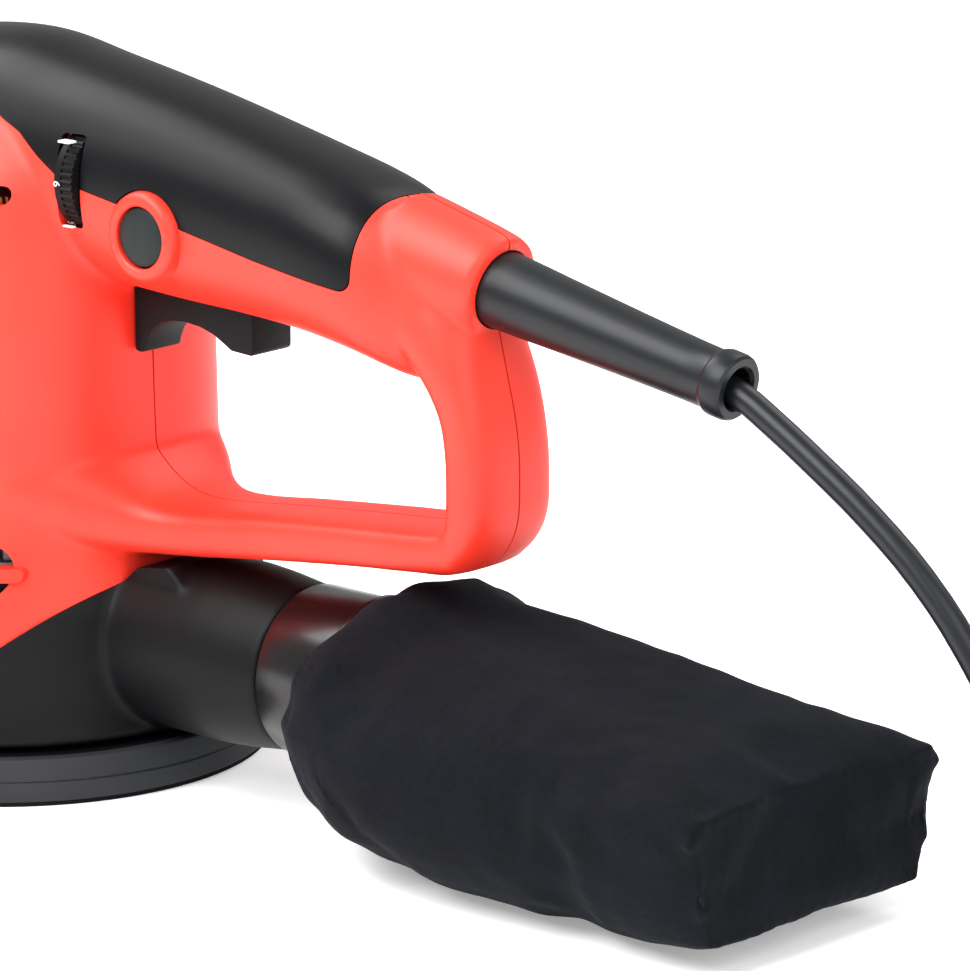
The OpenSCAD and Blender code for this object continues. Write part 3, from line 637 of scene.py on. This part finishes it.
cut(lowerForm, prism("saddle", shroud["saddle"], -shroud["saddleHalf"], shroud["saddleHalf"], {3: 4, 2: 4}), "UNION")
blendSurface(lowerForm, shroud["voxel"] * mm, shroud["rounds"])
above = [(x, z - 0.3) for x, z in shell["splitLine"][1:-1]] + [(92, 90), (-80, 90)]
cut(lowerForm, prism("aboveSplit", above, -90, 90))
bm = bmesh.new()
turned(bm, shroud["core"], 96)
cut(lowerForm, makePiece("core", bm), "UNION")
cut(lowerForm, rod("spigot", shroud["spigot"][0], 98, shroud["spigot"][1], portForward, 96), "UNION")
bm = bmesh.new()
turned(bm, shroud["void"], 96)
cut(lowerForm, [makePiece("fanRoom", bm), rod("ductRoot", 12, 36, 64, facing((0, 0, 32.3), (1, 0, 0))),
                rod("duct", 16, 60, 140, portForward, 64), rod("bearingHole", 14, 40, 70)])
finishPiece(lowerForm, "root", blackNylon, ["lower_housing"])
print("lower housing ready:", len(lowerForm.data.polygons), "faces")


# ---------- backing pad ----------
pad = {
    "middle": (2, 0, 0), "holeCircle": 32.5, "holes": 8, "hole": 5, "access": 4.5, "accessCircle": 11,
    "foam": [(0, 1), (61.4, 1), (62.1, 1.3), (62.5, 2), (62.5, 5.9), (62.2, 6.2), (62.5, 6.5), (62.5, 11), (62.2, 11.7),
             (61.5, 12), (60, 12), (60, 8), (0, 8)],
}


def drillPad(piece):
    for count, circle, radius, turn in ((pad["holes"], pad["holeCircle"], pad["hole"], 0),
                                        (4, pad["accessCircle"], pad["access"], 45)):
        for k in range(count):
            a = math.radians(turn + 360 * k / count)
            spot = Vector(pad["middle"]) + Vector((math.cos(a), math.sin(a), 0)) * circle
            cut(piece, rod("drill", radius, -1, 30, facing(spot, (0, 0, 1)), 32))
    return piece


bm = bmesh.new()
turned(bm, pad["foam"], 128, Matrix.Translation(Vector(pad["middle"]) * mm))
finishPiece(drillPad(makePiece("padFoam", bm, 25)), "pad", padFoam, ["pad_foam"])
print("pad ready")


# ---------- bag adapter and cord guard, both turned ----------
adapter = {"start": 101.2, "profile": [(18.68, 0.3), (19.5, 0), (20, 0.3), (20.4, 1), (20.4, 20.4), (21, 20.8), (21.4, 21.4),
                                       (21.4, 22.8), (20.4, 23.4), (20.4, 30.4), (19.8, 31), (16, 31), (16, 27.4),
                                       (18.68, 27.2)]}
bm = bmesh.new()
turned(bm, adapter["profile"], 96, facing((adapter["start"], 0, shroud["portAt"][2]), (1, 0, 0)))
finishPiece(makePiece("bagAdapter", bm, 30), "bag", glossBlack, ["bag_adapter"])

guard = {"start": -17.3, "profile": [(4.5, 0.5), (5, 0), (8.6, 0), (8.9, 0.4), (8.9, 3), (7.6, 3.4), (7.6, 6.2), (8.7, 6.7),
                                     (8.85, 18), (8.55, 26), (8.15, 35), (7.75, 45), (7.4, 54), (7.05, 64), (6.8, 73),
                                     (6.75, 78.6), (6.95, 79.3), (7.4, 79.8), (7.6, 80.6), (7.6, 83.6), (7.35, 84.6),
                                     (6.8, 85.2), (5.2, 85.2), (4.5, 84.4)]}
bm = bmesh.new()
turned(bm, guard["profile"], 80, facing(alongGuard(guard["start"]), guardForward))
finishPiece(makePiece("cordGuard", bm, 28), "root", guardPvc, ["cord_guard"])
print("adapter and guard ready")


# ---------- trigger, lock button and speed wheel ----------
def roundEdges(piece, width, segments=3, angle=30):
    bevel = piece.modifiers.new("edges", "BEVEL")
    bevel.width = width * mm
    bevel.segments = segments
    bevel.limit_method = "ANGLE"
    bevel.angle_limit = math.radians(angle)
    return bakeModifiers(piece)


triggerSide = [(triggerNear, 122.4), (triggerNear, 105.6), (52.8, 105.2), (53.4, 107.4), (54.6, 109.8), (56.6, 112),
               (59.2, 113.5), (62.4, 114.3), (67, 114.6), (72, 114.1), (76.4, 112.8), (80.6, 110.6), (82, 109.8),
               (88.4, 109.4), (triggerFar, 110.2), (triggerFar, 122.4)]
reach = shell["triggerHalf"]
trigger = roundEdges(prism("trigger", triggerSide, -reach, reach), 0.6)
cut(trigger, boxPiece("plunger", (56, -6, 118), (62, 6, 126.4)), "UNION")
cut(trigger, rod("springSeat", 3.6, 117.6, 130, facing((74, 0, 0), (0, 0, 1))))
finishPiece(trigger, "trigger", blackNylon, ["trigger"])

x, z = shell["button"]
r = shell["buttonRadius"]
bm = bmesh.new()
turned(bm, [(0, 22), (4.6, 22), (4.6, 12.2), (8.4, 12.2), (8.4, 13.8), (r, 13.8), (r, 23.5), (r - 0.2, 24), (r - 0.7, 24.3),
            (r - 2.4, 24.55), (r - 4.6, 24.7), (0, 24.75)], 72, facing((x, 0, z), sideways))
finishPiece(makePiece("lockButton", bm), "lock_button", buttonPlastic, ["lock_button"])

wheel = {"teeth": 48, "tooth": 0.45, "band": 2.2, "digits": "123456", "digitSize": 3.0, "digitStep": 50}
dialPlace = facing(shell["dial"], (1, 0, 0))
r, w = shell["dialRadius"], shell["dialWidth"] / 2
bm = bmesh.new()                                            # knurled part: every other pair of points stands in
made = bmesh.ops.create_circle(bm, cap_ends=True, segments=wheel["teeth"] * 4, radius=r * mm)["verts"]
for k, v in enumerate(made):
    if k % 4 < 2:
        v.co *= (r - wheel["tooth"]) / r
made = bmesh.ops.extrude_face_region(bm, geom=bm.faces[:])["geom"]
lift = (2 * w - wheel["band"]) * mm
bmesh.ops.translate(bm, vec=(0, 0, lift), verts=[g for g in made if isinstance(g, bmesh.types.BMVert)])
bmesh.ops.translate(bm, vec=(0, 0, w * mm - lift), verts=bm.verts)
bmesh.ops.transform(bm, matrix=dialPlace, verts=bm.verts)
dial = makePiece("speedDial", bm)
bm = bmesh.new()                                            # plain band for the numbers, recessed side face, stub shaft
turned(bm, [(0, -8), (2, -8), (2, -w + 0.8), (r - 2.6, -w + 0.8), (r - 2.2, -w), (r - 0.5, -w), (r - 0.1, -w + 0.4),
            (r - 0.1, -w + wheel["band"] + 0.1), (0, -w + wheel["band"] + 0.1)], 96, dialPlace)
cut(dial, makePiece("dialBand", bm), "UNION")
finishPiece(dial, "speed_dial", blackNylon, ["speed_dial"])


def flatText(text, size):
    font = bpy.data.curves.new("digit", "FONT")
    font.body, font.size, font.extrude = text, size * mm, 0.00004
    font.align_x, font.align_y, font.resolution_u = "CENTER", "CENTER", 4
    holder = bpy.data.objects.new("digit", font)
    scene.collection.objects.link(holder)
    mesh = bpy.data.meshes.new_from_object(holder.evaluated_get(bpy.context.evaluated_depsgraph_get()))
    bpy.data.objects.remove(holder)
    return mesh


bm = bmesh.new()
for k, digit in enumerate(reversed(wheel["digits"])):
    before = set(bm.verts)
    mesh = flatText(digit, wheel["digitSize"])
    bm.from_mesh(mesh)
    bpy.data.meshes.remove(mesh)
    turn = Matrix.Rotation(math.radians(wheel["digitStep"] * k), 4, "X")
    lay = Matrix(((0, 1, 0, 0), (0, 0, -1, 0), (-1, 0, 0, 0), (0, 0, 0, 1)))   # top of the digit towards +X, face out at -Y
    place = Matrix.Translation(Vector(shell["dial"]) * mm) @ turn @ Matrix.Translation(
        Vector((-w + wheel["band"] / 2 + 0.1, -r + 0.06, 0)) * mm) @ lay
    bmesh.ops.transform(bm, matrix=place, verts=[v for v in bm.verts if v not in before])
finishPiece(makePiece("dialDigits", bm), "speed_dial", whitePrintAndHighlight)
# two white strips at the ends of the dial slot: painted highlights, where light glints off the slot's chamfers
paintedHighlights = [boxPiece("slotHighlightTop", (dialX - 1.9, -26.2, 157.4), (dialX + 1.9, -23.6, 158.0), 0.2),
         boxPiece("slotHighlightLow", (dialX - 1.7, -25.4, 137.5), (dialX + 1.7, -24.2, 137.9), 0.12)]
for highlight in paintedHighlights:
    finishPiece(highlight, "root", whitePrintAndHighlight)
print("controls ready")


# ---------- housing screws on the right side, pan heads with a cross recess ----------
screwHead = [(0, -2.4), (2.9, -2.4), (3.2, -2), (3.2, -0.6), (2.9, 0), (0, 0)]
bm = bmesh.new()
for x, z, y in shell["screws"]:
    place = facing((x, y, z), -sideways)
    turned(bm, [(0, -y - 7), (1.5, -y - 7), (1.5, -0.1), (3.2, 0), (3.2, 1.3), (2.8, 2), (1.6, 2.35), (0, 2.4)], 32, place)
screws = makePiece("housingScrews", bm)
for x, z, y in shell["screws"]:
    for across in ((1.9, 0.35), (0.35, 1.9)):
        cut(screws, boxPiece("recess", (x - across[0], y + 1.2, z - across[1]), (x + across[0], y + 4, z + across[1])))
finishPiece(screws, "root", steel, ["housing_screws"])


# ---------- plug: two round pins, contour body, ribbed relief ----------
plug = {"at": (322, 67.2, 18.8), "rows": [(-14, 1.2, 11.8, 10.6, 5), (-13, 0.4, 12.6, 11.6, 5), (-6, 0, 13, 12, 4.5),
                                          (4, 0.4, 12.6, 10.6, 3.6), (12, 0.9, 12.1, 8.4, 2.6), (16, 1.2, 11.8, 6.6, 2.2)],
        "relief": [(0, 15), (5.6, 15), (5.4, 18), (4.6, 18.4), (4.6, 19.6), (5.2, 20), (5.0, 22.6), (4.4, 23), (4.4, 24.2),
                   (4.9, 24.6), (4.7, 27.2), (4.2, 27.6), (4.2, 28.8), (4.6, 29.2), (4.5, 31.6), (4.2, 32), (4.2, 34), (0, 34)]}
plugPlace = Matrix.Translation(Vector(plug["at"]) * mm)
alongPlug = plugPlace @ facing((0, 0, 6.5), (1, 0, 0))
bm = bmesh.new()
loft(bm, plug["rows"], "x", 1.5, 64)
bmesh.ops.transform(bm, matrix=plugPlace, verts=bm.verts)
plugBody = makePiece("plugBody", bm, 50)
bm = bmesh.new()
turned(bm, plug["relief"], 48, alongPlug)
cut(plugBody, makePiece("relief", bm), "UNION")
bm = bmesh.new()
for side in (-9.5, 9.5):
    turned(bm, [(0, -23.5), (1.9, -23.5), (1.95, -23), (1.95, -13), (0, -13)], 24, plugPlace @ facing((0, side, 6.5), (1, 0, 0)))
cut(plugBody, makePiece("sleeves", bm), "UNION")
finishPiece(plugBody, "root", blackNylon, ["plug_body"])
bm = bmesh.new()
for side in (-9.5, 9.5):
    turned(bm, [(0, -33), (0.9, -33), (1.6, -32.5), (2, -31.4), (2, -23.6), (0, -23.6)], 24,
           plugPlace @ facing((0, side, 6.5), (1, 0, 0)))
plugPins = finishPiece(makePiece("plugPins", bm), "root", pinMetal, ["plug_pins"])
print("plug ready")


# ---------- dust bag: sewn cloth, blown up a little, then seams and folds ----------
bag = {
    # x, low z, top z, half width, squareness
    "rows": [(115, 14, 51, 24, 2.1), (121, 9.6, 57, 32.4, 2.2), (128, 6.6, 60.6, 38, 2.3), (136, 5, 59.4, 41.4, 2.5),
             (145, 4.4, 54.4, 43.2, 2.8), (157, 4, 52.6, 44, 3.2), (175, 3.8, 49.6, 44, 3.6), (195, 4, 46, 43.4, 4.2),
             (220, 4.4, 42, 42.6, 5.4), (240, 5.4, 39.8, 41.8, 9), (248, 6.6, 38.6, 41.4, 14)],
    "mouthLean": 0.42, "footTaper": 0.15, "earGrow": 0.05, "farSkew": 5.5, "voxel": 4.2, "pressure": 3.0,
    "slack": 0.015, "cap": 4.0, "frames": 20, "hole": 20.2,
    # sewn lines of the end panel in mm, each with how far it stands out: two corners, the seam across, two folds
    "seams": [(1.7, [(249, -42.6, 38.6), (250, -40, 24), (249, -36.2, 7)]),
              (1.5, [(254, 45.5, 38.8), (254.5, 42.5, 24), (253, 37.6, 7)]),
              (-1.3, [(249.6, -39.4, 20), (252, -14, 20.6), (254, 14, 21.4), (254.4, 42, 22.6)]),
              (1.0, [(248.6, -42.6, 38.8), (251.4, 0, 39.2), (254, 45.5, 38.8)]),
              (0.6, [(249, -36.2, 6.6), (253, 37.6, 6.6)])],
    "seamReach": 2.2, "valley": 0.45, "pucker": 0.16, "puckerPitch": 4.4, "puckerReach": 9,
    "fold": 1.3, "foldLength": 52,
}


def leanMouth(bm):
    # the mouth leans back at the top; the end panel is narrower at its foot and drawn out at its top corners
    for v in bm.verts:
        x, y, z = v.co / mm
        near = max(0.0, min(1.0, (152 - x) / 34))
        far = max(0.0, min(1.0, (x - 170) / 70))
        x += near * max(0.0, z - 33) * bag["mouthLean"]
        y *= 1 - far * bag["footTaper"] * max(0.0, 30 - z) / 24 + far * bag["earGrow"] * max(0.0, z - 26) / 14
        x += far * bag["farSkew"] * (y / 42 if y > 0 else 0)
        v.co = Vector((x, y, z)) * mm


def nearestOnSeams(point):
    # distance to the nearest sewn line, how far along it that is, and how far the line stands out
    best = (1e9, 0.0, 0.0)
    for lift, line in bag["seams"]:
        before = 0.0
        for a, b in zip(line[:-1], line[1:]):
            a, b = Vector(a), Vector(b)
            span = b - a
            share = max(0.0, min(1.0, (point - a).dot(span) / span.length_squared))
            away = (point - a - span * share).length
            if away < best[0]:
                best = (away, before + share * span.length, lift)
            before += span.length
    return best


def inflate(piece):
    # pressure puffs the panels between the seams, which stay where they are sewn, and the mouth, which grips
    rest = [v.co.copy() for v in piece.data.vertices]
    held = piece.vertex_groups.new(name="held")
    for v, co in zip(piece.data.vertices, rest):
        away = nearestOnSeams(co / mm)[0]
        grip = 1.0 if co.x < 0.122 else max(0.0, 1 - away / 5)
        if grip > 0:
            held.add([v.index], grip, "REPLACE")
    cloth = piece.modifiers.new("cloth", "CLOTH").settings
    cloth.quality = 3
    cloth.mass = 0.2
    cloth.tension_stiffness = cloth.compression_stiffness = 12
    cloth.bending_stiffness = 0.3
    cloth.use_pressure = True
    cloth.uniform_pressure_force = bag["pressure"]
    cloth.shrink_min = -bag["slack"]
    cloth.effector_weights.gravity = 0
    cloth.vertex_group_mass = "held"
    for frameNumber in range(1, bag["frames"] + 1):
        scene.frame_set(frameNumber)
    puffed = piece.evaluated_get(bpy.context.evaluated_depsgraph_get()).to_mesh()
    moved = [v.co.copy() for v in puffed.vertices]
    piece.modifiers.clear()
    piece.vertex_groups.clear()
    cap = bag["cap"] * mm
    for v, old, new in zip(piece.data.vertices, rest, moved):
        step = new - old
        if step.length > cap:
            step *= cap / step.length
        v.co = old + step
        v.co.z = max(v.co.z, 0.0022)
    scene.frame_set(1)


def sewAndFold(piece):
    # pulls the seams in, puckers the cloth beside them and folds it where it leaves the mouth
    piece.data.update()
    for v in piece.data.vertices:
        point = v.co / mm
        away, along, lift = nearestOnSeams(point)
        pull = lift * math.exp(-(away / bag["seamReach"]) ** 2) - bag["valley"] * math.exp(-(away / 7) ** 2)
        wave = math.sin(along * 2 * math.pi / bag["puckerPitch"] + 1.7 * noise.noise(point * 0.12))
        pull += bag["pucker"] * wave * math.exp(-away / bag["puckerReach"] * 2.2) * min(1.0, away / 2.5)
        mouth = max(0.0, min(1.0, 1 - (point.x - 118) / bag["foldLength"]))
        around = math.atan2(point.z - 33, point.y)
        folds = noise.noise(Vector((around * 3.2, point.x * 0.035, 4.0)))
        pull += bag["fold"] * folds * mouth * 1.6
        pull += 0.8 * noise.noise(point * 0.04 + Vector((3, 8, 1))) + 0.25 * noise.noise(point * 0.13)
        v.co += v.normal * pull * mm
        v.co.z = max(v.co.z, 0.0021)


bm = bmesh.new()
loft(bm, bag["rows"], "x", 4, 96)
leanMouth(bm)
bagPiece = blendSurface(makePiece("dustBag", bm), bag["voxel"] * mm, 0)
inflate(bagPiece)
print("bag blown up")
smooth = bagPiece.modifiers.new("smooth", "SUBSURF")
smooth.levels = smooth.render_levels = 2
bakeModifiers(bagPiece, 60)
sewAndFold(bagPiece)
cut(bagPiece, rod("mouthHole", bag["hole"], 96, 146, portForward, 96))
shade(bagPiece, 60)
finishPiece(bagPiece, "bag", bagCloth, ["dust_bag"])
print("bag ready:", len(bagPiece.data.polygons), "faces")
